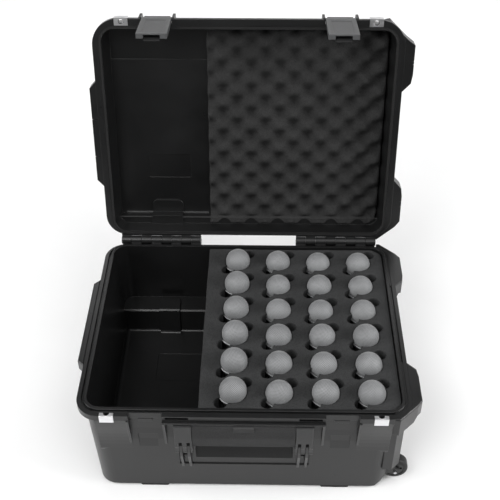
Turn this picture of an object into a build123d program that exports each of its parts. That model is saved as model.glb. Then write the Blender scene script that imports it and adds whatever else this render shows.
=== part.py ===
from build123d import *
import os
from math import sin, cos, radians, pi, sqrt

os.makedirs("parts", exist_ok=True)

# ---------------------------------------------------------------- dimensions
# Wheeled equipment case with a 24-microphone foam insert. Millimetres.
# +X along the long side, from the pull-handle end to the wheel end; +Y from
# the handle side to the hinge side; +Z up. Origin under the middle of the base.
RIM = 228.0            # height of the sealing plane between base and lid
IN_X, IN_Y = 279.4, 215.9   # half inside length and width at the rim (22 x 17 in)
BASE_DEPTH = 203.0     # inside depth of the base (8 in)
LID_DEPTH = 51.0       # inside depth of the lid (2 in)
FLOOR = RIM - BASE_DEPTH
FLANGE_X, FLANGE_Y, FLANGE_BACK = 297.0, 235.0, 224.0
FOOT_H = 7.0
HINGE_Y = 236.6        # hinge axis
LID_OPEN = 101.3       # opening angle of the lid as modelled
LATCH_HANG = 1.5       # the latches rest this far inside their locked position
MIC_N_X, MIC_N_Y = 4, 6
MIC_X0, MIC_DX, MIC_DY = -20.5, 82.7, 70.0
MIC_BALL_R = 25.0
FOAM_TOP = 223.0
FOAM_X = -81.5         # edge of the foam blocks towards the storage side
WHEEL_X, WHEEL_Z, WHEEL_R, WHEEL_W = 284.0, 34.0, 25.0, 24.0
WHEEL_Y = 189.5
HANDLE_Y, HANDLE_Z = -233.0, 131.0     # pivot of the front handle
LATCH_X = 172.5        # latch centres, left and right
LATCH_HALF = 28.0      # half width of a latch
BAY_IN, BAY_OUT = 143.4, 202.0         # sides of the latch bays
EYE_X, EYE_Y, EYE_R = 239.5, -229.4, 4.6   # padlock eyes
LATCH_Y, LATCH_Z = -230.5, 250.0       # latch pivot with the lid shut
TRIG_L = 28.0          # trigger pivot below the latch pivot
TUBE_Y, TUBE_Z = 58.0, 12.0            # pull-handle rails
TUBE_LEN = 430.0

OUT = {}


# ------------------------------------------------------------------- helpers
def bx(x0, x1, y0, y1, z0, z1):
    return Pos((x0 + x1) / 2, (y0 + y1) / 2, (z0 + z1) / 2) * Box(abs(x1 - x0), abs(y1 - y0), abs(z1 - z0))


def cx(x0, x1, y, z, r):
    return Pos((x0 + x1) / 2, y, z) * Rot(0, 90, 0) * Cylinder(r, abs(x1 - x0))


def cy(y0, y1, x, z, r):
    return Pos(x, (y0 + y1) / 2, z) * Rot(90, 0, 0) * Cylinder(r, abs(y1 - y0))


def cz(z0, z1, x, y, r):
    return Pos(x, y, (z0 + z1) / 2) * Cylinder(r, abs(z1 - z0))


def px(pts, x0, x1):
    """prism along X from a profile of (y, z) points"""
    f = make_face(Polyline([(x0, y, z) for y, z in pts], close=True))
    return extrude(f, amount=abs(x1 - x0), dir=(1 if x1 > x0 else -1, 0, 0))


def py(pts, y0, y1):
    """prism along Y from a profile of (x, z) points"""
    f = make_face(Polyline([(x, y0, z) for x, z in pts], close=True))
    return extrude(f, amount=abs(y1 - y0), dir=(0, 1 if y1 > y0 else -1, 0))


def pz(pts, z0, z1):
    """prism along Z from an outline of (x, y) points"""
    f = make_face(Polyline([(x, y, z0) for x, y in pts], close=True))
    return extrude(f, amount=abs(z1 - z0), dir=(0, 0, 1 if z1 > z0 else -1))


def rr(x0, x1, y0, y1, r, z):
    return Plane.XY.offset(z) * Pos((x0 + x1) / 2, (y0 + y1) / 2) * RectangleRounded(x1 - x0, y1 - y0, r)


def slab(x0, x1, y0, y1, r, z0, z1):
    return extrude(rr(x0, x1, y0, y1, r, z0), amount=z1 - z0)


def taper(a, ra, za, b, rb, zb):
    """drafted block between two rounded rectangles (x0, x1, y0, y1)"""
    return loft([rr(*a, ra, za), rr(*b, rb, zb)])


def turn(shape, y, z, deg):
    """rotate about the line parallel to X through (y, z)"""
    return Pos(0, y, z) * Rot(deg, 0, 0) * Pos(0, -y, -z) * shape


def mir(shape):
    return mirror(shape, about=Plane.YZ)


def fil(shape, r, pick):
    try:
        e = pick(shape)
        return fillet(e, r) if len(e) else shape
    except Exception:
        return shape


def comp(*s):
    out = []
    for a in s:
        out += list(a.solids())
    return Compound(children=out) if len(out) > 1 else out[0]


def union(first, *rest):
    a = first
    for b in rest:
        a = a + b
    return a


def put(name, shape):
    OUT[name] = shape


def open_lid(shape):
    return turn(shape, HINGE_Y, RIM, -LID_OPEN)


# ---------------------------------------------------------------- base shell
outer = taper((-276.5, 272, -218.5, 218.5), 34, 6, (-286, 284, -222, 222), 38, 213)
flange = slab(-FLANGE_X, FLANGE_X, -FLANGE_Y, FLANGE_BACK, 42, 212, 226)
flange = fil(flange, 1.6, lambda s: s.edges().group_by(Axis.Z)[0])
ridge = slab(-IN_X - 6, IN_X + 6, -IN_Y - 6, IN_Y + 6, 31, 220, RIM)
ridge = fil(ridge, 1.2, lambda s: s.edges().group_by(Axis.Z)[-1])
groove = slab(-IN_X - 10, IN_X + 10, -IN_Y - 10, IN_Y + 6.5, 35, 222.5, 226.1) - slab(-IN_X - 5.9, IN_X + 5.9, -IN_Y - 5.9, IN_Y + 5.9, 31, 222, 227)
base = union(outer, flange) - groove + ridge

# pull-handle end: shallow bump on the flange
bump_l = pz([(-296, -119), (-309.5, -105), (-309.5, 103), (-296, 117)], 200, 225)
bump_l = fil(bump_l, 3, lambda s: s.edges().group_by(Axis.Z)[0] + s.edges().group_by(Axis.Z)[-1])
base = base + bump_l
# wheel end: corner bumpers, cut off at 45 degrees
bump_pts = [(280, -101), (297, -101), (313, -117), (315.5, -134), (315.5, -191), (307, -203), (272, -237), (262, -234), (262, -200)]
bump_f = pz(bump_pts, 184, 225.5)
bump_f = fil(bump_f, 3, lambda s: s.edges().group_by(Axis.Z)[-1])
bump_pts_r = [(280, 103), (297, 103), (313, 119), (315.5, 136), (315.5, 191), (307, 203), (276, 233), (270, 233), (270, 200)]
bump_r = pz(bump_pts_r, 190, 225.5)
bump_r = fil(bump_r, 3, lambda s: s.edges().group_by(Axis.Z)[-1])
base = base + bump_f + bump_r
# sloped underside of the bumpers
for s in (1, -1):
    base = base - Pos(318, s * 150, 176) * Rot(0, 28, 0) * Box(36, 190, 24)
# posts that run down from the bumpers to the wheels, chamfered at the corner
post = pz([(256, -165), (288, -165), (288, -205), (273.5, -219.2), (256, -219.2)], 60, 190)
base = base + post + mirror(post, about=Plane.XZ)

# front face: corner pads, latch fins, ledge over the handle
for s in (-1, 1):
    pad = px([(-219, 112), (-220.4, 118), (-220.9, 130), (-221.9, 142), (-223.4, 154), (-225.4, 166), (-227.8, 178), (-230.4, 190), (-232.9, 202), (-234.9, 213), (-219, 213)], s * BAY_OUT, s * 262)
    base = base + pad
    for p, q in ((BAY_IN - 4.8, BAY_IN), (BAY_OUT, BAY_OUT + 4.6)):
        base = base + px([(-219, 123), (-236.6, 211), (-236.6, 213), (-219, 213)], s * p, s * q)
ledge = bx(-BAY_IN + 0.1, BAY_IN - 0.1, -240, -219, 209, 213)
ledge = fil(ledge, 1.5, lambda s: s.edges().filter_by(Axis.X).sort_by(Axis.Y)[:2])
base = base + ledge

# latch bays: the flange is cut back, a catch lug stays in the middle
for s in (-1, 1):
    a, b = sorted((s * BAY_IN, s * BAY_OUT))
    base = base - bx(a, b, -250, -227, 200, 227)
    base = base - px([(-222.6, 126), (-250, 126), (-250, 212), (-219.4, 212), (-219.4, 176), (-221.8, 128)], a, b)
    # room behind the trigger's finger lip
    base = base - px([(-218.9, 160), (-250, 166), (-250, 108), (-221.8, 108), (-218.9, 145)], s * (LATCH_X - 17.5), s * (LATCH_X + 17.5))
    lug = px([(-218, 208), (-227.4, 203.8), (-227.4, 211), (-225, 214), (-218, 214)], s * (LATCH_X - 13), s * (LATCH_X + 13))
    base = base + lug

# shallow slots in the flange above the handle arms
for s in (-1, 1):
    a, b = sorted((s * 97, s * 137.5))
    base = base - bx(a, b, -236, -230.2, 217.6, 223.4)

# panel behind the handle
base = base - px([(-220.6, 209), (-230, 209), (-230, 71), (-219.3, 71), (-217.6, 74)], -119, 119)
for s in (-1, 1):
    base = base - px([(-218.6, 209), (-230, 209), (-230, 136), (-221.6, 136)], s * 124.3, s * (BAY_IN - 4.8))
# finger pocket under the grip; the wall bulges inwards behind it
POCKET = [(-230, 160), (-214, 160), (-209, 153), (-209, 113.5), (-211.2, 107.2), (-215.0, 97.0), (-218.6, 87.4), (-219.6, 82), (-230, 82)]
BULGE = [(-217, 168), (-211, 164), (-205, 155), (-205, 112), (-208.2, 103), (-213.0, 90), (-216, 82), (-217, 82)]

# handle brackets: two ribs each side with the pin hole
for s in (-1, 1):
    for a, b in ((96.5, 101.5), (110.5, 115.5)):
        rib = px([(-217, 62), (-219.2, 62), (-238.6, 118), (-239.8, 132), (-239.2, 150), (-235, 157), (-217, 157)], s * a, s * b)
        base = base + rib
    a, b = sorted((s * 101.7, s * 110.3))
    base = base - bx(a, b, -230, -216.8, 97, 128)
base = base - cx(-130, 130, HANDLE_Y, HANDLE_Z, 2.6)

# back: hinge blocks, knuckles and stop web
K = 21.0
KN = [100 + i * K for i in range(8)]
for s in (-1, 1):
    for i, k in enumerate(KN):
        if i % 2 == 0:
            a, b = s * (k + 0.3), s * (k + K - 0.3)
            kn = cx(a, b, HINGE_Y, RIM, 9.0) + px([(219, 190), (219, 225.6), (226, 227.4), (HINGE_Y, 227.4), (HINGE_Y + 8.4, 224.5), (HINGE_Y + 8.4, 212)], a, b)
            base = base + kn
    web = px([(219, 186), (219, 206), (243.5, 220.1), (251, 220.1), (251, 209)], s * 100.3, s * 267.7)
    base = base + web
base = base - cx(-270, 270, HINGE_Y, RIM, 3.05)

# hollow inside
cav = taper((-267.5, 267.5, -212.5, 212.5), 24, FLOOR, (-IN_X, IN_X, -IN_Y, IN_Y), 26, RIM + 1)
slope = px([(167, FLOOR - 1), (167, FLOOR), (169.6, FLOOR + 40), (172.6, FLOOR + 43), (216, FLOOR + 43.6), (216, FLOOR - 1)], -280, 280)
high = px([(167, FLOOR - 1), (167, FLOOR), (170.2, FLOOR + 55), (173.2, FLOOR + 58), (218, FLOOR + 58.6), (218, FLOOR - 1)], -280, -84)
pads = px([(161, FLOOR - 1), (161, FLOOR), (164.6, FLOOR + 62), (167.6, FLOOR + 65), (199, FLOOR + 65), (199, FLOOR - 1)], -192, -148)
cove = px([(163.0, FLOOR - 1), (163.0, FLOOR), (164.4, FLOOR + 0.5), (166.2, FLOOR + 2.0), (167.0, FLOOR + 4.0), (168.5, FLOOR + 4.0), (168.5, FLOOR - 1)], -262, -85)
cove += px([(157.0, FLOOR - 1), (157.0, FLOOR), (158.4, FLOOR + 0.5), (160.2, FLOOR + 2.0), (161.0, FLOOR + 4.0), (162.5, FLOOR + 4.0), (162.5, FLOOR - 1)], -192, -148)
cove += py([(-270, FLOOR - 1), (-270, FLOOR + 9), (-267.2, FLOOR + 9), (-266.0, FLOOR + 5), (-263.8, FLOOR + 2.2), (-260.6, FLOOR + 0.5), (-258.5, FLOOR), (-258.5, FLOOR - 1)], -206, 168)
well = bx(246, 272, -213, -170, FLOOR - 1, 66) + bx(246, 272, 170, 213, FLOOR - 1, 66)
cav = cav - slope - high - pads - well - cove
floor_step = slab(-191, -88, 22, 97, 5, FLOOR - 0.8, FLOOR + 0.1)
cav = cav + floor_step
base = base - cav
base = base + px(BULGE, -94, 94)
base = base - px(POCKET, -89, 89)

# underside: skirt, ribs and room for the pull-handle rails
under = slab(-266, 266, -212.5, 212.5, 28, 0, FLOOR - 5)
ribs = [bx(-266, 266, y - 2, y + 2, 7, FLOOR - 4) for y in (-150, -100, 100, 150)]
ribs += [bx(x - 2, x + 2, -212.5, 212.5, 7, FLOOR - 4) for x in (-235, -120, 0, 120, 206)]
ribkeep = union(*ribs) - bx(-270, 203, -78, 78, 0, 30)
rails_wall = bx(-266, 206, -84, -80, 7, FLOOR - 4) + bx(-266, 206, 80, 84, 7, FLOOR - 4)
blocks = union(*[bx(sx * 170.5 - 29, sx * 170.5 + 29, sy * 203 - 13, sy * 203 + 13, 7, FLOOR - 4) for sx in (-1, 1) for sy in (-1, 1)])
wellskirt = bx(240, 268, -213, -166, 7, FLOOR) + bx(240, 268, 166, 213, 7, FLOOR)
base = base - (under - ribkeep - rails_wall - blocks - wellskirt)
# hollow under the inner slope, open below
base = base - (px([(172.5, 5), (172.5, FLOOR), (175, FLOOR + 37.5), (211, FLOOR + 38), (212.5, 5)], -236, 240) - union(*[bx(x - 2, x + 2, 170, 214, 7, 60) for x in (-120, 0, 120)]) - bx(-205, -136, 185, 218, 7, FLOOR - 4) - bx(136, 205, 185, 218, 7, FLOOR - 4))
base = base - (px([(175.5, FLOOR + 36), (176.3, FLOOR + 52.5), (211, FLOOR + 53), (211, FLOOR + 36)], -236, -90) - bx(-122, -118, 170, 214, 7, 90))

# wheel wells, open outwards and down
for s in (-1, 1):
    y0, y1 = sorted((s * 174, s * 205))
    base = base - bx(251, 300, y0, y1, -1, 62)
    base = base - cy(y0, y1, WHEEL_X, WHEEL_Z, 28.5)
    base = base - cy(s * 160, s * 235, WHEEL_X, WHEEL_Z, 3.0)
# bevel along the lower edge of the wheel end
base = base - py([(244, 3), (282, 41), (310, 41), (310, -3), (244, -3)], -240, 240)
# opening in the pull-handle end for the rails
base = base - bx(-290, -260, -72, 72, 3, FLOOR - 5)
# eyes for the padlock plates, through the flange
for s in (-1, 1):
    base = base - cz(211, 230, s * EYE_X, EYE_Y, EYE_R)
# vent hole in the wheel end wall
base = base - cx(262, 300, 0, 150, 7.05)
# seats for the rubber feet
for sx in (-1, 1):
    for sy in (-1, 1):
        base = base - slab(sx * 170.5 - 27.2, sx * 170.5 + 27.2, sy * 206 - 12.7, sy * 206 + 12.7, 4, -2, 7)
put("base_shell", base)

# ------------------------------------------------------------------ base feet
foot_pts = (-1, 1)
feet = []
for sx in foot_pts:
    for sy in (-1, 1):
        f = slab(sx * 170.5 - 27, sx * 170.5 + 27, sy * 206 - 12.5, sy * 206 + 12.5, 4, 0, 7)
        f = fil(f, 1.5, lambda s: s.edges().group_by(Axis.Z)[0])
        feet.append(f)
put("base_feet", comp(*feet))

# ------------------------------------------------------------- padlock plates
def plate(zs, up):
    """stainless clip over the flange edge: eye plate and a lip down the face"""
    t = 1.6
    z0, z1 = (zs, zs + t)
    p = bx(-12.4, 12.4, -237.2, -228.8, z0, z1)
    lip = bx(-12.4, 12.4, -237.2, -235.2, z1 - 17 if not up else z0, z1 if not up else z0 + 15)
    p = p + lip
    p = p - cz(z0 - 3, z1 + 3, 0, EYE_Y, 5.4)
    return fil(p, 1.0, lambda s: s.edges().filter_by(Axis.X).group_by(Axis.Y)[0])

put("base_padlock_plates", comp(*[Pos(s * EYE_X, 0, 0) * plate(226.0, False) for s in (-1, 1)]))

# ----------------------------------------------------------------- hinge pins
put("hinge_pins", comp(*[cx(s * 100.5, s * 267.5, HINGE_Y, RIM, 3.0) for s in (-1, 1)]))

# ------------------------------------------------------------------- mic foam
block = taper((FOAM_X, 266.6, -211.6, 211.6), 1.5, FLOOR, (FOAM_X, 278.6, -215.0, 215.0), 1.5, FOAM_TOP)
corner_keep = taper((-266.6, 266.6, -211.6, 211.6), 23, FLOOR - 1, (-278.6, 278.6, -215.0, 215.0), 25, FOAM_TOP + 1)
block = block & corner_keep
block = block - px([(166.2, FLOOR - 2), (166.2, FLOOR), (168.8, FLOOR + 40.4), (172.2, FLOOR + 43.9), (216, FLOOR + 44.5), (230, FLOOR + 44.5), (230, FLOOR - 2)], -100, 300)
block = block - px([(-230, 169.5), (-216, 169.5), (-210.4, 165), (-204.4, 155.6), (-204.4, 111.7), (-207.6, 102.6), (-212.4, 89.6), (-213, 88), (-230, 88)], -95, 95)
block = block - bx(245.2, 300, -230, -169, 0, 67) - bx(245.2, 300, 169, 230, 0, 67)
# the microphones are pushed in by hand, so each sits a little higher or lower;
# columns from the storage side, each from the hinge side to the front
SEATS = [[3.5, 5.5, 3.5, 7.4, 6.8, 6.3], [-0.5, -3.6, -3.2, -1.8, -1.2, -1.4],
         [-4.6, -2.6, -4.8, -0.5, -2.4, 1.8], [-4.0, -4.2, -3.6, 0.5, -1.5, 1.0]]
MICS = [(MIC_X0 + i * MIC_DX, (2.5 - j) * MIC_DY, SEATS[i][j]) for i in range(MIC_N_X) for j in range(MIC_N_Y)]
MIC_BOTTOM = 78.0
BALL_Z = FOAM_TOP - 1.5      # ball centre of a microphone at seat height 0


def pocket(seat):
    """cut for one microphone: neck, close fit round the ball, two finger slots"""
    q = cz(MIC_BOTTOM - 5.5, 200, 0, 0, 18.2) + cz(190, BALL_Z + seat - 6.6, 0, 0, 26.65)
    q = q + Pos(0, 0, BALL_Z + seat) * Sphere(MIC_BALL_R + 0.3)
    for d in (1, -1):
        q = q + cz(172, FOAM_TOP + 2, d * 21.5, d * 24.0, 11.8)
    return q


foam = block - cx(264, 290, 0, 150, 13.5)
for (mx, my, mz) in MICS:
    foam = foam - Pos(mx, my, 0) * pocket(mz)
put("mic_foam", foam)

# ----------------------------------------------------------------- microphones
bz = BALL_Z
ball_axis = Axis((0, 0, 0), (0, 0, 1))


def lathe(pts):
    f = make_face(Polyline([(r, 0, z) for r, z in pts], close=True))
    return revolve(f, Axis.Z, 360)


body1 = lathe([(0, MIC_BOTTOM), (9.5, MIC_BOTTOM), (9.5, MIC_BOTTOM + 3), (11.5, MIC_BOTTOM + 5), (17.0, 184), (17.8, 190), (17.8, 199), (0, 199)])
sw = bx(-3.2, 3.2, -18.1, -10, 150, 168)
body1 = body1 - bx(-3.4, 3.4, -20, -14.6, 150, 168)
head = Pos(0, 0, bz) * Sphere(MIC_BALL_R)
grille = head - bx(-30, 30, -30, 30, bz - 7.0, bz - 30)
lower = (head & bx(-30, 30, -30, 30, bz - 24, bz - 11.0)) - cz(180, 199.02, 0, 0, 40)
lower = lower + cz(199.02, 203, 0, 0, 16)
band = lathe([(0, bz - 11.0), (25.6, bz - 11.0), (26.4, bz - 10.2), (26.4, bz - 7.8), (25.6, bz - 7.0), (0, bz - 7.0)])
switch = bx(-3.2, 3.2, -17.6, -14.6, 150.5, 167.5)
put("mic_bodies", comp(*[Pos(x, y, z) * body1 for x, y, z in MICS]))
put("mic_grilles", comp(*[Pos(x, y, z) * grille for x, y, z in MICS]))
put("mic_grille_bases", comp(*[Pos(x, y, z) * lower for x, y, z in MICS]))
put("mic_bands", comp(*[Pos(x, y, z) * band for x, y, z in MICS]))
put("mic_switches", comp(*[Pos(x, y, z) * switch for x, y, z in MICS]))

# --------------------------------------------------------------- vent valve
wall_x = 272 + (150 - 6) / 207 * 12          # outer face of the wall at the vent
valve = cx(269.6, wall_x + 2, 0, 150, 7.0) + cx(wall_x + 1.0, wall_x + 5, 0, 150, 12)
valve = valve - cx(wall_x - 14, wall_x + 3, 0, 150, 2.2)
put("vent_body", valve)
cap = cx(wall_x + 5, wall_x + 9, 0, 150, 10.5)
for k in range(6):
    cap = cap - Pos(wall_x + 9, 0, 150) * Rot(60 * k, 0, 0) * Pos(0, 10, 0) * Box(4, 3, 3)
put("vent_cap", cap)
nut = cx(270.2, 273.7, 0, 150, 11) - cx(268, 276, 0, 150, 7.0)
put("vent_nut", nut)

# --------------------------------------------------------------------- wheels
for tag, s in (("front", -1), ("rear", 1)):
    yc = s * WHEEL_Y
    tyre = cy(yc - WHEEL_W / 2, yc + WHEEL_W / 2, WHEEL_X, WHEEL_Z, WHEEL_R)
    tyre = fil(tyre, 6.5, lambda q: q.edges().filter_by(GeomType.CIRCLE))
    tyre = tyre - cy(yc - 20, yc + 20, WHEEL_X, WHEEL_Z, 16.5)
    hub = cy(yc - 11, yc + 11, WHEEL_X, WHEEL_Z, 16.47) - cy(yc - 12, yc + 12, WHEEL_X, WHEEL_Z, 7.0)
    for k in range(5):
        a = radians(72 * k + 20)
        hub = hub - cy(yc - 12, yc + 12, WHEEL_X + 11.6 * cos(a), WHEEL_Z + 11.6 * sin(a), 2.6)
    brg = cy(yc - 11, yc - 4, WHEEL_X, WHEEL_Z, 6.98) + cy(yc + 4, yc + 11, WHEEL_X, WHEEL_Z, 6.98)
    brg = brg - cy(yc - 12, yc + 12, WHEEL_X, WHEEL_Z, 3.04)
    axle = cy(s * 168.5, s * 209, WHEEL_X, WHEEL_Z, 2.98) + cy(s * 166, s * 168.6, WHEEL_X, WHEEL_Z, 5.2)
    ch = []
    for a, b in ((s * 174.3, s * 176.6), (s * 202.4, s * 204.7)):
        a, b = sorted((a, b))
        c = bx(252.5, 284, a, b, 34, 61.8) + cy(a, b, WHEEL_X, WHEEL_Z, 9.0) + py([(252.5, 34), (284, 25), (284, 43), (252.5, 61)], a, b)
        c = c - cy(a - 1, b + 1, WHEEL_X, WHEEL_Z, 3.0)
        ch.append(c)
    yk = bx(252.0, 252.6 + 1.6, s * 174.3, s * 204.7, 36, 61.8)
    bracket = union(ch[0], ch[1], yk)
    bracket = bracket - cy(s * 176.6, s * 202.4, WHEEL_X, WHEEL_Z, 27.0)
    put("wheel_tyre_" + tag, tyre)
    put("wheel_hub_" + tag, hub)
    put("wheel_bearings_" + tag, comp(brg))
    put("wheel_axle_" + tag, axle)
    put("wheel_bracket_" + tag, bracket)

# --------------------------------------------------------------- pull handle
sl, inn, gl = [], [], []
for s in (-1, 1):
    y = s * TUBE_Y
    o = bx(-262, 190, y - 11.5, y + 11.5, 5.5, 18.5) - bx(-270, 188, y - 9.6, y + 9.6, 7.4, 16.6)
    sl.append(o)
    i_ = bx(-281, -281 + TUBE_LEN, y - 8.6, y + 8.6, 8.2, 15.8) - bx(-279, -279 + TUBE_LEN + 5, y - 7.0, y + 7.0, 9.8, 14.2)
    i_ = i_ - cz(15.0, 17, -262, y, 2.4)
    inn.append(i_)
    g = bx(-268, -262, y - 13.5, y + 13.5, 3.5, 19.9) - bx(-269, -261, y - 8.9, y + 8.9, 7.9, 16.1)
    gl.append(g)
put("pull_handle_sleeves", comp(*sl))
put("pull_handle_tubes", comp(*inn))
put("pull_handle_guides", comp(*gl))
grip = bx(-297, -281, -76, 76, 4.5, 25.5)
grip = fil(grip, 6, lambda q: q.edges().filter_by(Axis.Y))
grip = fil(grip, 3, lambda q: q.faces().sort_by(Axis.Y)[0].edges() + q.faces().sort_by(Axis.Y)[-1].edges())
grip = grip - bx(-298, -284, -16.3, 16.3, 10.2, 19.8)
put("pull_handle_grip", grip)
btn = bx(-298.4, -290.6, -15.9, 15.9, 10.6, 19.4)
btn = fil(btn, 1.5, lambda q: q.faces().sort_by(Axis.X)[0].edges())
put("pull_handle_button", btn)
spr = []
for y in (-9, 9):
    coil = cx(-288.9, -284, y, 15, 3.4) - cx(-290, -283, y, 15, 2.2)
    for k in range(4):
        coil = coil - (cx(-288.3 + k * 1.2, -287.7 + k * 1.2, y, 15, 4) - cx(-289, -283, y, 15, 2.6))
    spr.append(coil)
put("button_springs", comp(*spr))
cov = slab(-262, 196, -78.5, 78.5, 6, 2.4, 4.4)
for x in range(-220, 190, 40):
    cov = cov + bx(x - 2, x + 2, -70, 70, 1.6, 2.6)
holes = [(x, y) for x in (-248, -40, 160) for y in (-30, 30)]
for x, y in holes:
    cov = cov - cz(1, 6, x, y, 2.3)
put("rail_cover", cov)
bos, scr = [], []
for x, y in holes:
    bos.append(cz(4.4, 20.0, x, y, 5.0) - cz(4, 16, x, y, 1.6))
    scr.append(cz(0.9, 2.4, x, y, 4.2) + cz(2.2, 14, x, y, 1.55) - Pos(x, y, 1.0) * Box(5, 1.0, 0.8) - Pos(x, y, 1.0) * Box(1.0, 5, 0.8))
put("rail_cover_bosses", comp(*bos))
put("rail_cover_screws", comp(*scr))

# --------------------------------------------------------------- front handle
fr = None
for s in (-1, 1):
    a, b = sorted((s * 91.5, s * 123.5))
    arm = px([(-225.6, 146), (-225.6, 206), (-239.5, 206), (-241, 204.5), (-241, 148), (-239, 144), (-233, 143)], a, b)
    arm = fil(arm, 2.0, lambda q: q.edges().filter_by(Axis.Z).sort_by(Axis.Y)[:2])
    arm = arm - bx(s * 96.1, s * 101.9, -250, -220, 120, 161.5) - bx(s * 110.1, s * 115.9, -250, -220, 120, 161.5)
    for p, q_ in ((91.5, 96.1), (101.9, 110.1), (115.9, 123.5)):
        kk = cx(s * p, s * q_, HANDLE_Y, HANDLE_Z, 5.6) + px([(-226.5, 150), (-239.4, 150), (-238.4, 133), (-227.6, 132)], s * p, s * q_)
        arm = arm + kk
    fr = arm if fr is None else fr + arm
core = bx(-92, 92, -234, -229, 152, 200)
fr = fr + core
fr = fr - cx(-130, 130, HANDLE_Y, HANDLE_Z, 2.6)
put("front_handle_frame", fr)
gp = px([(-225.8, 152), (-225.8, 205.5), (-236.6, 205.5), (-239.4, 202.6), (-241.2, 194), (-241.7, 183), (-241.2, 170), (-239.6, 158), (-237.0, 149), (-233.6, 143), (-229.8, 141), (-227, 144)], -91.2, 91.2)
gp = gp + fil(bx(-18.5, 18.5, -242.8, -236, 193, 204.8), 2, lambda q: q.edges().filter_by(Axis.Y))
gp = gp - core
put("front_handle_grip", gp)
put("front_handle_pins", comp(*[cx(s * 91.7, s * 123.3, HANDLE_Y, HANDLE_Z, 2.5) for s in (-1, 1)]))

# -------------------------------------------------------------------- the lid
# built shut, above the rim plane, and turned open about the hinge axis
G = RIM + 0.3
lid_out = taper((-284, 284, -221.5, 221.5), 36, G + 8, (-279, 279, -217.5, 217.5), 36, G + LID_DEPTH + 5)
lid_fl = slab(-FLANGE_X, FLANGE_X, -FLANGE_Y, FLANGE_BACK, 42, G, G + 11) & (slab(-FLANGE_X, FLANGE_X, -FLANGE_Y, FLANGE_BACK, 52, G - 1, G + 12) + bx(-300, 300, 0, 230, G - 1, G + 12))
lid_fl = fil(lid_fl, 1.6, lambda s: s.edges().group_by(Axis.Z)[-1])
lid = lid_out + lid_fl
lb = pz([(-296, -95 - 18), (-309.5, -98), (-309.5, 98), (-296, 113)], G + 0.5, G + 24)
lb = fil(lb, 3, lambda s: s.edges().group_by(Axis.Z)[-1])
for y in (-34, 46):
    lb = lb - bx(-312, -300, y - 1, y + 1, G, G + 30)
lid = lid + lb
lb_pts = [(280, -93), (297, -95), (313, -112), (315.5, -130), (315.5, -187), (301, -198), (267, -231), (258, -229), (258, -200)]
lr_pts = [(280, 93), (297, 95), (313, 112), (315.5, 130), (315.5, 188), (306.5, 201), (270, 232), (260, 229), (260, 200)]
lf = fil(pz(lb_pts, G + 0.5, G + 34), 4, lambda s: s.edges().group_by(Axis.Z)[-1])
lr = fil(pz(lr_pts, G + 0.5, G + 34), 4, lambda s: s.edges().group_by(Axis.Z)[-1])
for y in (-156, -150):
    lf = lf - bx(312.5, 318, y - 0.8, y + 0.8, G, G + 40)
for y in (142, 154):
    lr = lr - bx(312.5, 318, y - 0.8, y + 0.8, G, G + 40)
lid = lid + lf + lr
# raised panels and ribs on top
top_z = G + LID_DEPTH + 5
for (a, b, c, d) in ((-262, -12, -196, 196), (12, 262, -196, 196)):
    p = slab(a, b, c, d, 18, top_z - 1, top_z + 5)
    p = fil(p, 3, lambda s: s.edges().group_by(Axis.Z)[-1])
    p = p - slab(a + 14, b - 14, c + 14, d - 14, 12, top_z, top_z + 6)
    lid = lid + p
    for x in (a + 60, b - 60):
        lid = lid + slab(x - 9, x + 9, c + 40, d - 40, 8.5, top_z - 1, top_z + 4)
# latch bays: flange cut back, ears that carry the latch pins
for s in (-1, 1):
    a, b = sorted((s * BAY_IN, s * BAY_OUT))
    lid = lid - bx(a, b, -250, -225.5, G - 1, G + 27)
    for p, q_ in ((BAY_IN - 4.6, BAY_IN + 0.1), (BAY_OUT - 0.1, BAY_OUT + 4.6)):
        ear = px([(-218, G + 2), (-235, G + 2), (-236.8, G + 5), (-237.2, G + 29), (-236.6, G + 33.5), (-234.0, G + 36.5), (-228, G + 41), (-218, G + 45)], s * p, s * q_)
        lid = lid + ear
    lid = lid - cx(s * (BAY_IN - 6), s * (BAY_OUT + 6), LATCH_Y, LATCH_Z, 2.06)
# hinge side knuckles
for s in (-1, 1):
    for i, k in enumerate(KN):
        if i % 2 == 1:
            a, b = s * (k + 0.3), s * (k + K - 0.3)
            kn = cx(a, b, HINGE_Y, RIM, 9.0) + px([(219, 229.2), (HINGE_Y, 229.2), (HINGE_Y + 6.5, 232), (HINGE_Y + 4.2, 240), (228, 246), (219, 262)], a, b)
            # toe that meets the stop web when the lid stands open
            toe = px([(HINGE_Y - 1, RIM + 6), (HINGE_Y - 1.2, RIM + 15.6), (HINGE_Y + 4.5, RIM + 15.0), (HINGE_Y + 6, RIM + 6)], a, b)
            lid = lid + kn
    lid = lid + px([(219, 229.2), (226.9, 229.2), (226.9, 239), (224, 246), (219, 256)], s * 100.3, s * 267.7)
lid = lid - cx(-270, 270, HINGE_Y, RIM, 3.05)
# base knuckles pass between the lid knuckles
for s in (-1, 1):
    for i, k in enumerate(KN):
        if i % 2 == 0:
            a, b = s * (k - 0.1), s * (k + K + 0.1)
            lid = lid - bx(a, b, 227.0, 250, 216, 239)
            lid = lid - cx(a, b, HINGE_Y, RIM, 9.65)
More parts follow.
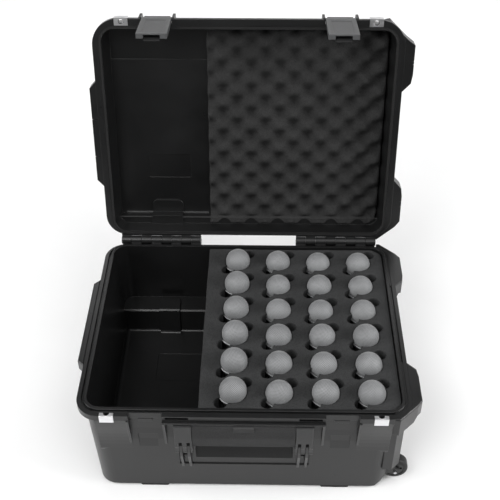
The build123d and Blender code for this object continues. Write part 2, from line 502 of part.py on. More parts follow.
# inside of the lid
lc = taper((-IN_X, IN_X, -IN_Y, IN_Y), 26, G - 1, (-272, 272, -212.5, 212.5), 22, G + LID_DEPTH)
lslope = px([(220, G + 33), (199.6, G + 33), (198, G + 34.6), (198, G + LID_DEPTH + 1), (220, G + LID_DEPTH + 1)], -285, 285)
lcove = px([(193.6, G + LID_DEPTH + 1), (193.6, G + LID_DEPTH), (195.2, G + LID_DEPTH - 0.6), (197.0, G + LID_DEPTH - 2.2), (197.8, G + LID_DEPTH - 4.2), (199, G + LID_DEPTH - 4.2), (199, G + LID_DEPTH + 1)], -262, -85)
lpad = slab(-205, -140, 166, 220, 12, G + LID_DEPTH - 3.5, G + LID_DEPTH + 1) + bx(-205, -140, 193.4, 220, G + 29, G + LID_DEPTH + 1)
lc = lc - lslope - lpad - lcove
lc = lc + slab(-271.5, 271.5, -212.3, -141, 3, G + LID_DEPTH - 0.5, G + LID_DEPTH + 2.2)
lc = lc + (slab(-208, -121, 62, 114, 4, G + LID_DEPTH - 0.5, G + LID_DEPTH + 0.8))
lid = lid - lc
# seal groove in the rim face, over the ridge of the base
gas_o, gas_i = (IN_X + 5.4, IN_Y + 5.4), (IN_X + 1.0, IN_Y + 1.0)
sg = slab(-gas_o[0], gas_o[0], -gas_o[1], gas_o[1], 30.4, G - 1, G + 3.4) - slab(-gas_i[0], gas_i[0], -gas_i[1], gas_i[1], 26.6, G - 2, G + 4)
lid = lid - sg
for s in (-1, 1):
    lid = lid - cz(G - 2, G + 30, s * EYE_X, EYE_Y, EYE_R)
    lid = lid - bx(s * EYE_X - 13.2, s * EYE_X + 13.2, -236, -222.0, G - 1, G + 1.7)
put("lid_shell", open_lid(lid))
ga = slab(-gas_o[0] + 0.2, gas_o[0] - 0.2, -gas_o[1] + 0.2, gas_o[1] - 0.2, 30.2, G + 0.2, G + 3.4) - slab(-gas_i[0] - 0.2, gas_i[0] + 0.2, -gas_i[1] - 0.2, gas_i[1] + 0.2, 26.8, G - 2, G + 4)
put("lid_gasket", open_lid(ga))
put("latch_pins", open_lid(comp(*[cx(s * (BAY_IN - 4.4), s * (BAY_OUT + 4.4), LATCH_Y, LATCH_Z, 2.0) for s in (-1, 1)])))
lfoam = slab(FOAM_X, 271.0, -211.0, 211.0, 3, G + 26.6, G + LID_DEPTH - 0.2)
lfoam = lfoam & taper((-275.5, 275.5, -213.5, 213.5), 24, G + 20, (-271.4, 271.4, -211.8, 211.8), 21.5, G + LID_DEPTH)
lfoam = lfoam - px([(197.2, G + 32.2), (197.2, G + LID_DEPTH + 2), (230, G + LID_DEPTH + 2), (230, G + 32.2)], -285, 285)
put("lid_foam", open_lid(lfoam))

# -------------------------------------------------------------------- latches
def to_rest(shape):
    """latch parts: shut-lid position, swung in by the hang angle, then opened with the lid"""
    return open_lid(turn(shape, LATCH_Y, LATCH_Z, LATCH_HANG))


LO, LI = -236.3, -233.7           # outer and inner face of the latch plate
TRIG_Y = -231.0                   # trigger pivot
for tag, s in (("left", -1), ("right", 1)):
    xc = s * LATCH_X
    H = LATCH_HALF
    z_end = LATCH_Z - 110
    pl = px([(LI, z_end), (LO + 0.6, z_end), (LO, z_end + 1.5), (LO, 236), (LO + 1.4, 243), (LO + 4.0, LATCH_Z + 2.4), (LO + 6.0, LATCH_Z + 4.0), (LATCH_Y, LATCH_Z), (LI, 238)], xc - H, xc + H)
    sides = None
    for a, b in ((xc - H, xc - H + 3.6), (xc + H - 3.6, xc + H)):
        sd = px([(LI - 0.5, z_end), (-226.8, z_end), (-226.8, 196), (-229.4, 206), (-229.4, 238), (-226.8, 247), (-227.0, 252), (LATCH_Y, LATCH_Z + 4.0), (LO + 4.2, LATCH_Z + 2.0), (LI - 0.5, 239)], a, b)
        sides = sd if sides is None else sides + sd
    knk = cx(xc - H + 3.6, xc + H - 3.6, LATCH_Y, LATCH_Z, 4.1)
    cover = pl + sides + knk
    # lower brackets either side of the trigger
    for a, b in ((xc - H + 3, xc - 15.4), (xc + 15.4, xc + H - 3)):
        cover = cover + bx(a, b, LI - 0.2, -227.0, z_end, z_end + 4)
    cover = cover - cx(xc - 31, xc + 31, LATCH_Y, LATCH_Z, 2.06)
    cover = cover - cx(xc - 25.6, xc + 25.6, TRIG_Y, LATCH_Z - TRIG_L, 1.55)
    # shallow recessed panel on the outer face
    cover = cover - Pos(xc, LO, LATCH_Z - 62) * Box(38, 1.2, 66)
    cover = fil(cover, 1.0, lambda q: q.faces().sort_by(Axis.Y)[0].outer_wire().edges())
    put("latch_cover_" + tag, to_rest(cover))
    put("trigger_pin_" + tag, to_rest(cx(xc - 25.4, xc + 25.4, TRIG_Y, LATCH_Z - TRIG_L, 1.5)))
    zt = LATCH_Z - TRIG_L
    lev = cx(xc - 14.5, xc + 14.5, TRIG_Y, zt, 2.4)
    lev = lev + px([(-232.9, zt), (-229.3, zt), (-229.2, 203.2), (-225.9, 202.0), (-225.9, 199.6), (-229.4, 196.6), (-226.9, 172), (-224.4, 147), (-222.4, 141.6), (-222.4, 139.2), (-224.2, 138.8), (-227.2, 145), (-229.4, 171), (-231.4, 191), (-232.5, 205)], xc - 14.5, xc + 14.5)
    lev = lev - cx(xc - 16, xc + 16, TRIG_Y, zt, 1.55)
    put("latch_trigger_" + tag, to_rest(lev))
    # torsion spring on the trigger pin
    coil = cx(xc + 15.6, xc + 23.6, TRIG_Y, zt, 2.45) - cx(xc + 15, xc + 25, TRIG_Y, zt, 1.62)
    for k in range(5):
        coil = coil - (cx(xc + 16.5 + 1.2 * k, xc + 17.0 + 1.2 * k, TRIG_Y, zt, 4) - cx(xc + 15, xc + 25, TRIG_Y, zt, 2.0))
    coil = coil + bx(xc + 22.4, xc + 23.4, TRIG_Y - 2.45, TRIG_Y - 1.5, zt, zt + 12)
    put("trigger_spring_" + tag, to_rest(coil))

# lid padlock clips: eye plate on the rim face of the flange and a lip up its edge
lp = []
for s in (-1, 1):
    p = bx(-13, 13, -237.2, -235.2, G + 0.1, G + 13) + bx(-13, 13, -237.2, -222.2, G + 0.1, G + 1.6)
    p = p - cz(G - 5, G + 20, 0, EYE_Y, 5.2)
    lp.append(Pos(s * EYE_X, 0, 0) * p)
put("lid_padlock_plates", open_lid(comp(*lp)))

for name, shape in OUT.items():
    shape.label = name
    export_step(shape, "parts/" + name + ".step")
print(len(OUT), "nodes")
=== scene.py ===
import bpy, bmesh, random
import numpy as np
from math import sin, cos, pi, radians, sqrt
from mathutils import Matrix, Vector, noise


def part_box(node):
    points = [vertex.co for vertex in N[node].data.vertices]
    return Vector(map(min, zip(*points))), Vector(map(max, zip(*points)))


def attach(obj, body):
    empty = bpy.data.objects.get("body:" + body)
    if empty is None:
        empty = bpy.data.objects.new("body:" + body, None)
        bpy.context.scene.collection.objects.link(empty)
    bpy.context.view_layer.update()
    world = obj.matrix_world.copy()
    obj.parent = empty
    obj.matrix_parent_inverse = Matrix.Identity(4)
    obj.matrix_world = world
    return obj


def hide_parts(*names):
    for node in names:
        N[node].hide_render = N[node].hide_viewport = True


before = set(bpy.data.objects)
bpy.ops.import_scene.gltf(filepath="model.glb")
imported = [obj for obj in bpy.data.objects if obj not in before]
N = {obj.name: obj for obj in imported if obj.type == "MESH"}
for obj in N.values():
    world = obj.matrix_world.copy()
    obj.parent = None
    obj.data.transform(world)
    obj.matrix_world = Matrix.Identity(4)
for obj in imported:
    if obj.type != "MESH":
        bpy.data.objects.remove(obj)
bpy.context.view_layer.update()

MM = 0.001
RIM, G, HINGE_Y, OPEN = 228.0, 228.3, 236.6, 101.3
FOAM_TOP = 223.0
random.seed(7)
rng = np.random.default_rng(7)
scene = bpy.context.scene


# ------------------------------------------------------------------- camera
def add_camera():
    yaw, pitch, roll = radians(-1.052), radians(40.997), radians(-0.168)
    f_px = 916.74
    right = Vector((cos(yaw), -sin(yaw), 0))
    fwd = Vector((sin(yaw) * cos(pitch), cos(yaw) * cos(pitch), -sin(pitch)))
    up = right.cross(fwd)
    r2 = right * cos(roll) + up * sin(roll)
    u2 = up * cos(roll) - right * sin(roll)
    cam = bpy.data.cameras.new("camera")
    cam.sensor_width = 36.0
    cam.lens = f_px / 500.0 * 36.0
    cam.clip_start, cam.clip_end = 0.05, 30
    ob = bpy.data.objects.new("camera", cam)
    scene.collection.objects.link(ob)
    m = Matrix((r2, u2, -fwd)).transposed().to_4x4()
    m.translation = Vector((30.39, -1242.75, 1487.54)) * MM
    ob.matrix_world = m
    scene.camera = ob


add_camera()


# ---------------------------------------------------------------- materials
def mat(name):
    m = bpy.data.materials.new(name)
    m.use_nodes = True
    nt = m.node_tree
    nt.nodes.clear()
    out = nt.nodes.new("ShaderNodeOutputMaterial")
    b = nt.nodes.new("ShaderNodeBsdfPrincipled")
    nt.links.new(b.outputs[0], out.inputs[0])
    return m, nt, b


def node(nt, kind, **kw):
    n = nt.nodes.new(kind)
    for k, v in kw.items():
        if k in n.inputs:
            n.inputs[k].default_value = v
        else:
            setattr(n, k, v)
    return n


def link(nt, a, b):
    nt.links.new(a, b)


def coords(nt):
    return nt.nodes.new("ShaderNodeTexCoord").outputs["Object"]


def ramp(nt, fac, stops):
    r = nt.nodes.new("ShaderNodeValToRGB")
    els = r.color_ramp.elements
    while len(els) < len(stops):
        els.new(0.5)
    for e, (p, c) in zip(els, stops):
        e.position = p
        e.color = (*c, 1) if len(c) == 3 else (c[0], c[0], c[0], 1)
    link(nt, fac, r.inputs["Fac"])
    return r.outputs["Color"]


def math(nt, op, a, b=None, clamp=False):
    n = nt.nodes.new("ShaderNodeMath")
    n.operation = op
    n.use_clamp = clamp
    for i, v in enumerate((a, b)):
        if v is None:
            continue
        if isinstance(v, (int, float)):
            n.inputs[i].default_value = v
        else:
            link(nt, v, n.inputs[i])
    return n.outputs[0]


def mixc(nt, fac, a, b, mode="MIX"):
    n = nt.nodes.new("ShaderNodeMix")
    n.data_type = "RGBA"
    n.blend_type = mode
    for i, v in ((0, fac), (6, a), (7, b)):
        if isinstance(v, (int, float)):
            n.inputs[i].default_value = v
        elif isinstance(v, tuple):
            n.inputs[i].default_value = (*v, 1)
        else:
            link(nt, v, n.inputs[i])
    return n.outputs[2]


def plastic(name, base, rough=0.5, grain=0.9, bump=0.25, spec=0.5, bevel=0.0011, edge=1.5, scuff=0.25):
    """moulded plastic with spark texture, lighter worn edges and faint cloudy colour"""
    m, nt, b = mat(name)
    co = coords(nt)
    cloud = node(nt, "ShaderNodeTexNoise", Scale=9.0, Detail=4.0, Roughness=0.6)
    fine = node(nt, "ShaderNodeTexNoise", Scale=420.0, Detail=3.0, Roughness=0.7)
    vor = node(nt, "ShaderNodeTexVoronoi", Scale=620.0)
    streak = node(nt, "ShaderNodeTexNoise", Scale=60.0, Detail=6.0, Roughness=0.75)
    for t in (cloud, fine, vor, streak):
        link(nt, co, t.inputs["Vector"])
    dark = tuple(c * 0.86 for c in base)
    lite = tuple(min(1, c * 1.14) for c in base)
    col = ramp(nt, cloud.outputs["Fac"], [(0.3, dark), (0.7, lite)])
    speck = ramp(nt, fine.outputs["Fac"], [(0.35, (0.88,)), (0.65, (1.1,))])
    col = mixc(nt, 1.0, col, speck, "MULTIPLY")
    # worn, slightly polished edges
    geo = nt.nodes.new("ShaderNodeNewGeometry")
    wear = ramp(nt, geo.outputs["Pointiness"], [(0.505, (0.0,)), (0.56, (1.0,))])
    wear = math(nt, "MULTIPLY", wear, math(nt, "MULTIPLY", streak.outputs["Fac"], 0.9))
    col = mixc(nt, wear, col, tuple(min(1, c * edge) for c in base))
    link(nt, col, b.inputs["Base Color"])
    r = ramp(nt, cloud.outputs["Fac"], [(0.25, (rough - 0.05,)), (0.75, (rough + 0.06,))])
    scratch = ramp(nt, streak.outputs["Fac"], [(0.58, (0.0,)), (0.75, (1.0,))])
    r = math(nt, "SUBTRACT", r, math(nt, "MULTIPLY", scratch, 0.08 * scuff * 4))
    link(nt, r, b.inputs["Roughness"])
    b.inputs["Specular IOR Level"].default_value = spec
    h = math(nt, "ADD", math(nt, "MULTIPLY", fine.outputs["Fac"], 0.6), math(nt, "MULTIPLY", vor.outputs["Distance"], 0.5))
    bp = node(nt, "ShaderNodeBump", Strength=bump, Distance=0.0002 * grain)
    link(nt, h, bp.inputs["Height"])
    if bevel:
        bv = nt.nodes.new("ShaderNodeBevel")
        bv.samples = 4
        bv.inputs["Radius"].default_value = bevel
        link(nt, bv.outputs[0], bp.inputs["Normal"])
    link(nt, bp.outputs[0], b.inputs["Normal"])
    return m


def metal(name, base, rough=0.3, brush=(1, 1, 1), bump=0.08, metallic=1.0):
    m, nt, b = mat(name)
    co = coords(nt)
    mp = nt.nodes.new("ShaderNodeMapping")
    mp.inputs["Scale"].default_value = brush
    link(nt, co, mp.inputs["Vector"])
    n1 = node(nt, "ShaderNodeTexNoise", Scale=300.0, Detail=5.0, Roughness=0.7)
    n2 = node(nt, "ShaderNodeTexNoise", Scale=40.0, Detail=4.0)
    link(nt, mp.outputs[0], n1.inputs["Vector"])
    link(nt, co, n2.inputs["Vector"])
    col = ramp(nt, n1.outputs["Fac"], [(0.3, tuple(c * 0.85 for c in base)), (0.7, tuple(min(1, c * 1.08) for c in base))])
    col = mixc(nt, math(nt, "MULTIPLY", n2.outputs["Fac"], 0.25), col, tuple(c * 0.7 for c in base))
    link(nt, col, b.inputs["Base Color"])
    link(nt, ramp(nt, n1.outputs["Fac"], [(0.3, (rough - 0.06,)), (0.7, (rough + 0.1,))]), b.inputs["Roughness"])
    b.inputs["Metallic"].default_value = metallic
    bp = node(nt, "ShaderNodeBump", Strength=bump, Distance=0.0002)
    link(nt, n1.outputs["Fac"], bp.inputs["Height"])
    bv = nt.nodes.new("ShaderNodeBevel")
    bv.samples = 4
    bv.inputs["Radius"].default_value = 0.0005
    link(nt, bv.outputs[0], bp.inputs["Normal"])
    link(nt, bp.outputs[0], b.inputs["Normal"])
    return m


def foam(name, base, pore=520.0, sheen=0.25):
    m, nt, b = mat(name)
    co = coords(nt)
    vor = node(nt, "ShaderNodeTexVoronoi", Scale=pore)
    vor2 = node(nt, "ShaderNodeTexVoronoi", Scale=pore * 0.42)
    n1 = node(nt, "ShaderNodeTexNoise", Scale=14.0, Detail=4.0, Roughness=0.6)
    n2 = node(nt, "ShaderNodeTexNoise", Scale=pore * 0.7, Detail=3.0)
    for t in (vor, vor2, n1, n2):
        link(nt, co, t.inputs["Vector"])
    col = ramp(nt, n1.outputs["Fac"], [(0.3, tuple(c * 0.85 for c in base)), (0.7, tuple(c * 1.15 for c in base))])
    pores = ramp(nt, vor.outputs["Distance"], [(0.12, (0.35,)), (0.5, (1.12,))])
    col = mixc(nt, 0.85, col, pores, "MULTIPLY")
    pits = ramp(nt, vor2.outputs["Distance"], [(0.05, (0.45,)), (0.2, (1.0,))])
    col = mixc(nt, 0.6, col, pits, "MULTIPLY")
    link(nt, col, b.inputs["Base Color"])
    b.inputs["Roughness"].default_value = 0.95
    b.inputs["Specular IOR Level"].default_value = 0.2
    b.inputs["Sheen Weight"].default_value = sheen
    b.inputs["Sheen Roughness"].default_value = 0.6
    h = math(nt, "ADD", math(nt, "MULTIPLY", vor.outputs["Distance"], 0.7), math(nt, "MULTIPLY", n2.outputs["Fac"], 0.5))
    bp = node(nt, "ShaderNodeBump", Strength=0.6, Distance=0.0006)
    link(nt, h, bp.inputs["Height"])
    link(nt, bp.outputs[0], b.inputs["Normal"])
    return m


def mesh_wire(name, base):
    """woven grille cloth: UV is in millimetres over the dome"""
    m, nt, b = mat(name)
    uv = nt.nodes.new("ShaderNodeTexCoord").outputs["UV"]
    sep = nt.nodes.new("ShaderNodeSeparateXYZ")
    link(nt, uv, sep.inputs[0])
    k = 2 * pi / 2.5
    su = math(nt, "SINE", math(nt, "MULTIPLY", sep.outputs[0], k))
    sv = math(nt, "SINE", math(nt, "MULTIPLY", sep.outputs[1], k))
    hole = math(nt, "MULTIPLY", math(nt, "ADD", math(nt, "MULTIPLY", su, 0.5), 0.5), math(nt, "ADD", math(nt, "MULTIPLY", sv, 0.5), 0.5))
    n1 = node(nt, "ShaderNodeTexNoise", Scale=30.0, Detail=3.0)
    link(nt, coords(nt), n1.inputs["Vector"])
    wire = ramp(nt, n1.outputs["Fac"], [(0.3, tuple(c * 0.85 for c in base)), (0.7, tuple(min(1, c * 1.1) for c in base))])
    # the weave openings are painted near-black: painted shade standing in for the shaded inside of the head seen
    # through the holes
    dark = ramp(nt, hole, [(0.30, (0.0,)), (0.62, (1.0,))])
    col = mixc(nt, dark, wire, (0.045, 0.045, 0.047))
    link(nt, col, b.inputs["Base Color"])
    b.inputs["Metallic"].default_value = 0.15
    b.inputs["Roughness"].default_value = 0.55
    b.inputs["Sheen Weight"].default_value = 0.25
    b.inputs["Sheen Roughness"].default_value = 0.4
    bp = node(nt, "ShaderNodeBump", Strength=0.7, Distance=0.0005)
    bp.invert = True
    link(nt, hole, bp.inputs["Height"])
    link(nt, bp.outputs[0], b.inputs["Normal"])
    return m


M = {
    "shell": plastic("shell_plastic", (0.0066, 0.0067, 0.0069), rough=0.33, bump=0.3),
    "lid": plastic("lid_plastic", (0.0070, 0.0071, 0.0072), rough=0.33, bump=0.3),
    "latch": plastic("latch_plastic", (0.062, 0.063, 0.0645), rough=0.40, bump=0.18, grain=0.6),
    "trigger": plastic("trigger_plastic", (0.010, 0.010, 0.0103), rough=0.5, bump=0.18, grain=0.6),
    "handle": plastic("handle_plastic", (0.016, 0.0163, 0.0167), rough=0.40, bump=0.18, grain=0.6),
    "grip": plastic("grip_rubber", (0.052, 0.052, 0.0525), rough=0.8, bump=0.35, spec=0.06),
    "foot": plastic("foot_rubber", (0.016, 0.016, 0.016), rough=0.75, bump=0.4, spec=0.3),
    "seal": plastic("seal_rubber", (0.010, 0.010, 0.010), rough=0.6, bump=0.1, spec=0.3, bevel=0),
    "vent": plastic("vent_plastic", (0.016, 0.016, 0.016), rough=0.45, bump=0.15),
    "hub": plastic("hub_plastic", (0.010, 0.010, 0.010), rough=0.45, bump=0.15),
    "tyre": plastic("tyre_polyurethane", (0.014, 0.014, 0.014), rough=0.55, bump=0.3, spec=0.4),
    "mic": plastic("mic_enamel", (0.02, 0.02, 0.021), rough=0.4, bump=0.08, grain=0.4),
    "steel": metal("stainless_plate", (0.88, 0.88, 0.89), rough=0.34, brush=(0.15, 1, 1)),
    "pin": metal("ground_pin", (0.55, 0.55, 0.57), rough=0.3),
    "spring": metal("spring_wire", (0.45, 0.45, 0.47), rough=0.35),
    "screw": metal("plated_screw", (0.5, 0.5, 0.52), rough=0.35),
    "rail": metal("anodised_rail", (0.45, 0.46, 0.48), rough=0.35, brush=(0.05, 1, 1)),
    "band": metal("mic_band_metal", (0.30, 0.305, 0.31), rough=0.55),
    "wire": mesh_wire("grille_cloth", (0.275, 0.28, 0.285)),
    "foam": foam("case_foam", (0.033, 0.0335, 0.034), sheen=0.0),
    "lidfoam": foam("egg_crate_foam", (0.027, 0.027, 0.027), pore=460.0, sheen=0.0),
}

ASSIGN = {
    "base_shell": "shell", "base_feet": "foot", "base_padlock_plates": "steel", "hinge_pins": "pin", "mic_bodies": "mic",
    "mic_grille_bases": "wire", "mic_bands": "band", "mic_switches": "vent", "vent_body": "vent", "vent_cap": "vent", "vent_nut": "vent",
    "pull_handle_sleeves": "rail", "pull_handle_guides": "vent", "rail_cover": "shell", "rail_cover_bosses": "shell", "rail_cover_screws": "screw",
    "wheel_axle_front": "pin", "wheel_axle_rear": "pin", "wheel_bracket_front": "hub", "wheel_bracket_rear": "hub", "front_handle_pins": "pin",
    "lid_shell": "lid", "lid_gasket": "seal", "lid_padlock_plates": "steel", "latch_pins": "pin",
    "latch_cover_left": "latch", "latch_cover_right": "latch", "trigger_pin_left": "pin", "trigger_pin_right": "pin",
    "trigger_spring_left": "spring", "trigger_spring_right": "spring", "latch_trigger_left": "trigger", "latch_trigger_right": "trigger",
    "front_handle_frame": "handle", "front_handle_grip": "grip", "pull_handle_tubes": "rail", "pull_handle_grip": "handle",
    "button_springs": "spring", "pull_handle_button": "trigger",
    "wheel_tyre_front": "tyre", "wheel_tyre_rear": "tyre", "wheel_hub_front": "hub", "wheel_hub_rear": "hub",
    "wheel_bearings_front": "pin", "wheel_bearings_rear": "pin", "mic_foam": "foam", "lid_foam": "lidfoam", "mic_grilles": "wire",
}
for n, o in N.items():
    o.data.materials.clear()
    o.data.materials.append(M[ASSIGN[n]])


# ------------------------------------------------------------------ helpers
def from_np(name, verts, faces, material, smooth=True):
    me = bpy.data.meshes.new(name)
    me.from_pydata([tuple(v) for v in verts], [], [tuple(f) for f in faces])
    me.update()
    ob = bpy.data.objects.new(name, me)
    scene.collection.objects.link(ob)
    me.materials.append(material)
    if smooth:
        me.polygons.foreach_set("use_smooth", [True] * len(me.polygons))
    return ob


def opened(v):
    """lid coordinates with the lid shut, in mm, to the open rest pose, in metres"""
    a = radians(-OPEN)
    y, z = v[:, 1] - HINGE_Y, v[:, 2] - RIM
    out = v.copy()
    out[:, 1] = HINGE_Y + y * cos(a) - z * sin(a)
    out[:, 2] = RIM + y * sin(a) + z * cos(a)
    return out * MM


def apply_mods(ob):
    bpy.context.view_layer.update()
    dg = bpy.context.evaluated_depsgraph_get()
    me = bpy.data.meshes.new_from_object(ob.evaluated_get(dg))
    old = ob.data
    ob.modifiers.clear()
    ob.data = me
    bpy.data.meshes.remove(old)
    return ob


def fnoise(co, scale, seed=0.0):
    """smooth pseudo-random field from a few rotated sine waves, in [-1, 1]"""
    out = np.zeros(len(co))
    r = np.random.default_rng(int(seed * 1000) + 11)
    for k in range(7):
        d = r.normal(size=3)
        d /= np.linalg.norm(d)
        out += np.sin(co @ d * scale * (0.6 + 0.25 * k) + r.uniform(0, 6.28))
    return out / 7 * 1.6


# ---------------------------------------------------------------- mic foam
def make_mic_foam():
    src = N["mic_foam"]
    me = src.data.copy()
    ob = bpy.data.objects.new("mic_foam_block", me)
    scene.collection.objects.link(ob)
    bm = bmesh.new()
    bm.from_mesh(me)
    bmesh.ops.remove_doubles(bm, verts=bm.verts, dist=1e-6)
    bm.to_mesh(me)
    bm.free()
    md = ob.modifiers.new("remesh", "REMESH")
    md.mode = "VOXEL"
    md.voxel_size = 0.0019
    md.use_smooth_shade = True
    sm = ob.modifiers.new("smooth", "SMOOTH")
    sm.factor, sm.iterations = 0.5, 2
    apply_mods(ob)
    co = np.zeros(len(ob.data.vertices) * 3)
    ob.data.vertices.foreach_get("co", co)
    co = co.reshape(-1, 3)
    no = np.zeros_like(co).ravel()
    ob.data.vertices.foreach_get("normal", no)
    no = no.reshape(-1, 3)
    lo, hi = (np.array(v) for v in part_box("mic_foam"))
    d = 0.00035 * fnoise(co, 260.0, 1) + 0.0004 * fnoise(co, 45.0, 2) - 0.0002
    co = co + no * d[:, None]
    co = np.clip(co, lo + 1e-5, hi - 1e-5)
    ob.data.vertices.foreach_set("co", co.ravel())
    ob.data.update()
    ob.data.materials.clear()
    ob.data.materials.append(M["foam"])
    ob.data.polygons.foreach_set("use_smooth", [True] * len(ob.data.polygons))
    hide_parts("mic_foam")
    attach(ob, "base")
    return ob


make_mic_foam()


# ---------------------------------------------------------------- lid foam
def make_lid_foam():
    x0, x1 = -81.5, 270.8
    y0, y1 = -210.8, 210.8
    top, bottom = G + 26.8, G + 50.7       # crest plane and glued back
    step = 2.0
    nx, ny = int((x1 - x0) / step), int((y1 - y0) / step)
    xs = np.linspace(x0, x1, nx + 1)
    ys = np.linspace(y0, y1, ny + 1)
    X, Y = np.meshgrid(xs, ys, indexing="ij")
    PX, PY = 28.3, 24.3                    # half pitches along and across
    w = -np.cos(pi * (X - EGG_X) / PX) * np.cos(pi * (Y - EGG_Y) / PY)
    prof = np.sign(w) * np.abs(w) ** 1.0
    z = top + 1.9 + EGG_H * (1 - prof) / 2
    # round the far corners to follow the lid
    cr = 26.0
    verts, faces = [], []

    def clampxy(x, y):
        for sy in (1, -1):
            cx_, cy_ = x1 - cr, sy * (y1 - cr)
            if x > cx_ and (y - cy_) * sy > 0:
                dx, dy = x - cx_, y - cy_
                d = max(abs(dx), abs(dy), 1e-9)
                r = sqrt(dx * dx + dy * dy)
                k = min(1.0, cr * (d / r) / d * 1.0) if r > 0 else 1.0
                # map the square corner to a rounded one
                return cx_ + dx * d / r, cy_ + dy * d / r
        return x, y

    XX, YY = X.copy(), Y.copy()
    for i in range(nx + 1):
        for j in range(ny + 1):
            XX[i, j], YY[i, j] = clampxy(X[i, j], Y[i, j])
    # the pits cut scallops into the edge at the hinge side
    notch = np.clip(np.cos(pi * (XX - EGG_X) / PX), 0, 1) ** 0.8
    YY = np.where(YY > 197.0, 197.0 + (YY - 197.0) * (1 - 0.8 * notch), YY)
    # soft shoulder at the rim of the pad
    edge = np.minimum(np.minimum(X - x0, x1 - X), np.minimum(Y - y0, y1 - Y))
    z = z + 3.0 * np.exp(-(edge / 2.2) ** 2)
    co = np.stack([XX.ravel(), YY.ravel(), z.ravel()], 1)
    co[:, 2] += 0.28 * fnoise(co, 0.35, 3) + 0.45 * fnoise(co, 0.06, 4)
    co[:, 2] = np.maximum(co[:, 2], top - 0.1)
    # the box step of the lid at the hinge side
    def ceil_at(y):
        return np.where(y > 197.0, G + 32.0, bottom)
    co[:, 2] = np.minimum(co[:, 2], ceil_at(co[:, 1]) - 0.6)
    n = (nx + 1) * (ny + 1)
    idx = np.arange(n).reshape(nx + 1, ny + 1)
    quads = [(idx[i, j], idx[i, j + 1], idx[i + 1, j + 1], idx[i + 1, j]) for i in range(nx) for j in range(ny)]
    # back face on the same grid, then the side wall between the two boundaries
    back = co.copy()
    back[:, 2] = ceil_at(back[:, 1])
    quads += [(idx[i, j] + n, idx[i + 1, j] + n, idx[i + 1, j + 1] + n, idx[i, j + 1] + n) for i in range(nx) for j in range(ny)]
    ring = [idx[i, 0] for i in range(nx + 1)] + [idx[nx, j] for j in range(1, ny + 1)] + [idx[i, ny] for i in range(nx - 1, -1, -1)] + [idx[0, j] for j in range(ny - 1, 0, -1)]
    L = 5
    rows = [ring]
    allv = [co, back]
    base = 2 * n
    for k in range(1, L):
        t = k / L
        r = co[ring].copy()
        r[:, 2] = r[:, 2] * (1 - t) + back[ring][:, 2] * t
        allv.append(r)
        rows.append(list(range(base, base + len(ring))))
        base += len(ring)
    rows.append([q + n for q in ring])
    for a, b_ in zip(rows[:-1], rows[1:]):
        m_ = len(ring)
        for i in range(m_):
            j = (i + 1) % m_
            quads.append((a[i], a[j], b_[j], b_[i]))
    V = opened(np.vstack(allv))
    ob = from_np("lid_foam_pad", V, quads, M["lidfoam"])
    bm = bmesh.new()
    bm.from_mesh(ob.data)
    bmesh.ops.recalc_face_normals(bm, faces=bm.faces)
    bm.to_mesh(ob.data)
    bm.free()
    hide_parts("lid_foam")
    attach(ob, "lid")
    return ob


EGG_X, EGG_Y, EGG_H = -51.5, -33.0, 17.5
make_lid_foam()


# ------------------------------------------------------------ mic grilles
SEATS = [[3.5, 5.5, 3.5, 7.4, 6.8, 6.3], [-0.5, -3.6, -3.2, -1.8, -1.2, -1.4],
         [-4.6, -2.6, -4.8, -0.5, -2.4, 1.8], [-4.0, -4.2, -3.6, 0.5, -1.5, 1.0]]
MICS = [(-20.5 + i * 82.7, (2.5 - j) * 70.0, SEATS[i][j]) for i in range(4) for j in range(6)]


def make_grilles():
    nphi, nth = ((96, 34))
    th_max = pi / 2 + 0.278
    verts, faces, uvs = [], [], []
    for mi, (mx, my, mz) in enumerate(MICS):
        cz_ = FOAM_TOP - 1.5 + mz
        R = 24.9
        rot = random.uniform(0, pi)
        tilt = Matrix.Rotation(random.uniform(-0.05, 0.05), 3, "X") @ Matrix.Rotation(random.uniform(-0.05, 0.05), 3, "Y")
        b0 = len(verts)
        verts.append((mx, my, cz_ + R))
        uvs.append((0.0, 0.0))
        for i in range(1, nth + 1):
            th = th_max * i / nth
            for j in range(nphi):
                ph = 2 * pi * j / nphi
                u, v = th * R * cos(ph + rot), th * R * sin(ph + rot)
                w = 0.07 * (sin(u * 2 * pi / 5.0) * sin(v * 2 * pi / 5.0))
                r = R + w - 0.07
                verts.append((mx + r * sin(th) * cos(ph), my + r * sin(th) * sin(ph), cz_ + r * cos(th)))
                uvs.append((u, v))
        for j in range(nphi):
            faces.append((b0, b0 + 1 + j, b0 + 1 + (j + 1) % nphi))
        for i in range(nth - 1):
            for j in range(nphi):
                a = b0 + 1 + i * nphi + j
                b_ = b0 + 1 + i * nphi + (j + 1) % nphi
                faces.append((a, a + nphi, b_ + nphi, b_))
        # closed under the band
        last = [b0 + 1 + (nth - 1) * nphi + j for j in range(nphi)]
        faces.append(tuple(last))
    ob = from_np("mic_grille_mesh", np.array(verts) * MM, faces, M["wire"])
    uvl = ob.data.uv_layers.new(name="weave")
    li = np.zeros(len(ob.data.loops), dtype=np.int32)
    ob.data.loops.foreach_get("vertex_index", li)
    uvl.data.foreach_set("uv", np.array(uvs)[li].ravel())
    bm = bmesh.new()
    bm.from_mesh(ob.data)
    bmesh.ops.recalc_face_normals(bm, faces=bm.faces)
    bm.to_mesh(ob.data)
    bm.free()
    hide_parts("mic_grilles")
    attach(ob, "base")


make_grilles()


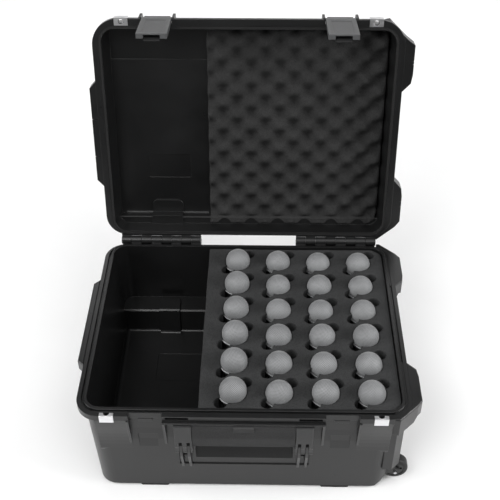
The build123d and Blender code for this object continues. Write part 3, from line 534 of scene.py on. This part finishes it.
# ------------------------------------------------------------------- stage
def add_stage():
    bm = bmesh.new()
    s, front, back, h, r, k = 1.8, -0.62, 2.7, 0.8, 0.5, 14
    prof = [(front, 0.0), (back - r, 0.0)]
    for i in range(1, k + 1):
        a = (pi / 2) * i / k
        prof.append((back - r + r * sin(a), r - r * cos(a)))
    prof.append((back, h))
    vs = [[bm.verts.new((x, y, z)) for (y, z) in prof] for x in (-s, s)]
    for i in range(len(prof) - 1):
        bm.faces.new((vs[0][i], vs[1][i], vs[1][i + 1], vs[0][i + 1]))
    me = bpy.data.meshes.new("floor")
    bm.to_mesh(me)
    bm.free()
    ob = bpy.data.objects.new("floor", me)
    scene.collection.objects.link(ob)
    me.polygons.foreach_set("use_smooth", [True] * len(me.polygons))
    m, nt, b = mat("floor_paper")
    n1 = node(nt, "ShaderNodeTexNoise", Scale=3.0, Detail=3.0)
    link(nt, coords(nt), n1.inputs["Vector"])
    link(nt, ramp(nt, n1.outputs["Fac"], [(0.3, (0.9, 0.9, 0.9)), (0.7, (0.93, 0.93, 0.93))]), b.inputs["Base Color"])
    b.inputs["Roughness"].default_value = 0.9
    me.materials.append(m)


add_stage()


def area(name, loc, target, size, power, color=(1, 1, 1), size_y=None):
    li = bpy.data.lights.new(name, "AREA")
    li.energy = power
    li.color = color
    if size_y:
        li.shape = "RECTANGLE"
        li.size, li.size_y = size, size_y
    else:
        li.size = size
    ob = bpy.data.objects.new(name, li)
    scene.collection.objects.link(ob)
    ob.location = loc
    d = Vector(target) - Vector(loc)
    ob.rotation_euler = d.to_track_quat("-Z", "Y").to_euler()
    return ob


LIGHTS = [
    ("key_left", (-1.1, -1.75, 2.6), (0, 0, 0.2), 1.3, 1.1, 38),
    ("key_right", (1.1, -1.75, 2.6), (0, 0, 0.2), 1.3, 1.1, 18),
    ("side_right", (2.0, 0.1, 2.2), (0, 0, 0.2), 1.0, 1.0, 8),
    ("left", (-2.3, -0.5, 1.3), (0, 0, 0.2), 1.2, 1.2, 42),
    ("right", (2.3, -0.5, 1.3), (0, 0, 0.2), 1.2, 1.2, 42),
    ("front_low", (-0.4, -2.4, 0.9), (0, -0.2, 0.15), 1.6, 0.8, 2),
    ("top", (0.0, -0.1, 2.6), (0, 0, 0.2), 2.0, 2.0, 12),
    ("floor_back", (0.0, 1.9, 1.5), (0, 1.7, 0.0), 3.0, 1.2, 23),
]
for nm, loc, tgt, sx_, sy_, pw in LIGHTS:
    area(nm, loc, tgt, sx_, pw, size_y=sy_)

w = bpy.data.worlds.new("studio")
scene.world = w
w.use_nodes = True
bg = w.node_tree.nodes["Background"]
bg.inputs["Color"].default_value = (1, 1, 1, 1)
bg.inputs["Strength"].default_value = 0.01
scene.view_settings.view_transform = "Standard"
scene.view_settings.look = "None"
scene.view_settings.exposure = 0.0
